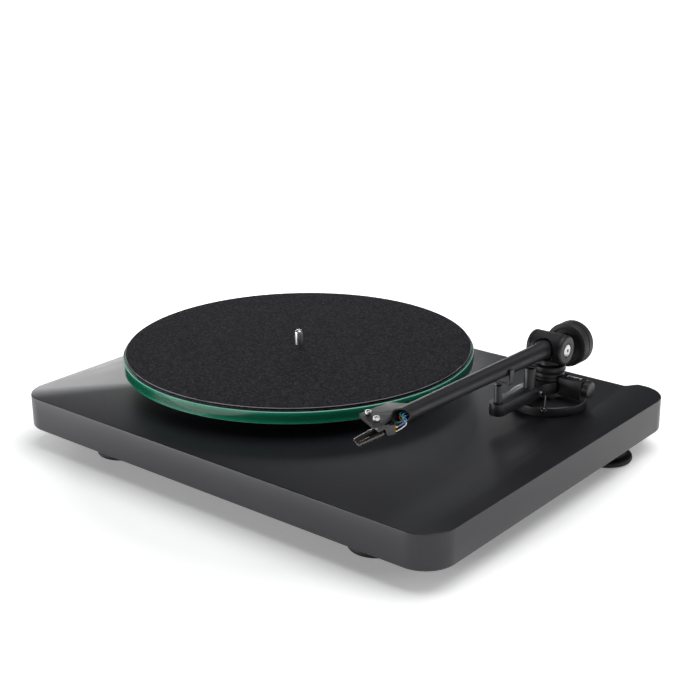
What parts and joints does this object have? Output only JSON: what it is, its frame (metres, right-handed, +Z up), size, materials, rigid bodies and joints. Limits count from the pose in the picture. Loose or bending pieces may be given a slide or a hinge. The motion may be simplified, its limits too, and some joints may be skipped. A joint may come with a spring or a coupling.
{
  "type": "turntable record player",
  "caption": "Slim belt-driven record deck: black plinth on rubber feet, glass platter with felt mat, tapered tonearm with angled headshell, cartridge, counterweight, rest and lift.",
  "frame": {"origin": "on the surface the feet stand on, under the middle of the plinth", "axes": "+X to the tonearm's side, +Y to the rear, +Z up"},
  "size_m": [0.427, 0.333, 0.1101],
  "materials": {
    "satin_lacquer": "satin black lacquer on a dense board",
    "rubber": "matte moulded rubber",
    "black_plastic": "satin moulded plastic",
    "black_anodised": "satin black anodised",
    "black_steel": "satin black coating",
    "steel": "turned and polished",
    "brass": "turned",
    "glass": "polished edge",
    "felt": "pressed felt",
    "belt_rubber": "smooth round belt",
    "circuit_board": "solder resist",
    "smoky_plastic": "smoky translucent",
    "red_lead": "soft insulation",
    "green_lead": "soft insulation",
    "blue_lead": "soft insulation",
    "white_lead": "soft insulation"
  },
  "bodies": {
    "chassis": {"plinth": "satin_lacquer", "foot_front_left": "rubber", "foot_front_right": "rubber", "foot_rear_left": "rubber", "foot_rear_right": "rubber", "bottom_cover": "black_plastic", "switch_housing": "black_plastic", "terminal_plate": "black_plastic", "power_inlet": "black_plastic", "arm_base": "black_plastic", "arm_bracket": "black_plastic", "rest_post": "black_plastic", "rest_clip": "black_plastic", "bias_housing": "black_plastic", "phase_capacitor": "black_plastic", "column_ring": "black_anodised", "bearing_ball": "steel", "motor_body": "steel", "cover_screw_1": "steel", "cover_screw_2": "steel", "cover_screw_3": "steel", "cover_screw_4": "steel", "phono_socket_left": "steel", "phono_socket_right": "steel", "terminal_screw_1": "steel", "terminal_screw_2": "steel", "arm_lock_nut": "steel", "bearing_tube": "steel", "lower_race": "steel", "upper_race": "steel", "bearing_sleeve": "brass", "drive_belt": "belt_rubber", "motor_board": "circuit_board"},
    "platter": {"platter_spindle": "steel", "sub_platter": "black_plastic", "glass_platter": "glass", "felt_mat": "felt"},
    "motor_rotor": {"motor_shaft": "steel", "motor_pulley": "steel"},
    "bearing_yoke": {"arm_yoke": "black_anodised", "yaw_shaft": "steel", "pivot_screw_inner": "steel", "pivot_screw_outer": "steel"},
    "tonearm": {"arm_tube": "black_anodised", "counterweight_rod": "steel", "cartridge_body": "black_plastic", "stylus_holder": "black_plastic", "cartridge_screw_inner": "steel", "cartridge_screw_outer": "steel", "lead_red": "red_lead", "lead_green": "green_lead", "lead_blue": "blue_lead", "lead_white": "white_lead"},
    "counterweight": {"counterweight": "black_steel", "counterweight_screw": "steel"},
    "stylus_guard": {"stylus_guard": "smoky_plastic"},
    "cue_lever": {"cue_lever": "steel"},
    "lift_platform": {"lift_platform": "steel"},
    "bias_knob": {"bias_knob": "black_plastic"},
    "switch_rocker": {"switch_rocker": "black_plastic"}
  },
  "joints": [
    {"name": "platter_spin", "type": "hinge", "parent": "chassis", "child": "platter", "pos_m": [-0.0625, 0.0165, 0.0711], "axis": [0, 0, -1], "continuous": true},
    {"name": "motor_spin", "type": "hinge", "parent": "chassis", "child": "motor_rotor", "pos_m": [-0.1295, 0.0835, 0.0525], "axis": [0, 0, -1], "continuous": true},
    {"name": "arm_yaw", "type": "hinge", "parent": "chassis", "child": "bearing_yoke", "pos_m": [0.1458, 0.083, 0.0944], "axis": [0, 0, -1], "range_deg": [0, 56]},
    {"name": "arm_pitch", "type": "hinge", "parent": "bearing_yoke", "child": "tonearm", "pos_m": [0.1458, 0.083, 0.0944], "axis": [-0.9997, -0.0262, 0], "range_deg": [-2.3, 4]},
    {"name": "counterweight_slide", "type": "slide", "parent": "tonearm", "child": "counterweight", "axis": [-0.0262, 0.9989, -0.0401], "range_m": [-0.004, 0.006]},
    {"name": "stylus_guard_slide", "type": "slide", "parent": "tonearm", "child": "stylus_guard", "axis": [-0.4216, -0.8586, -0.2918], "range_m": [0, 0.012]},
    {"name": "cue_turn", "type": "hinge", "parent": "chassis", "child": "cue_lever", "pos_m": [0.14521, 0.05901, 0.064], "axis": [-0.9997, 0.0244, 0], "range_deg": [0, 65]},
    {"name": "lift_slide", "type": "slide", "parent": "chassis", "child": "lift_platform", "axis": [0, 0, 1], "range_m": [0, 0.001]},
    {"name": "bias_slide", "type": "slide", "parent": "chassis", "child": "bias_knob", "axis": [1, 0, 0], "range_m": [0, 0.006]},
    {"name": "switch_rock", "type": "hinge", "parent": "chassis", "child": "switch_rocker", "pos_m": [-0.18, -0.12, 0.02], "axis": [0, 1, 0], "range_deg": [0, 14]}
  ],
  "couplings": [
    {"joint": "motor_spin", "follows": "platter_spin", "ratio": 7.5},
    {"joint": "cue_turn", "follows": "lift_slide", "rad_per_m": 1134.5}
  ]
}
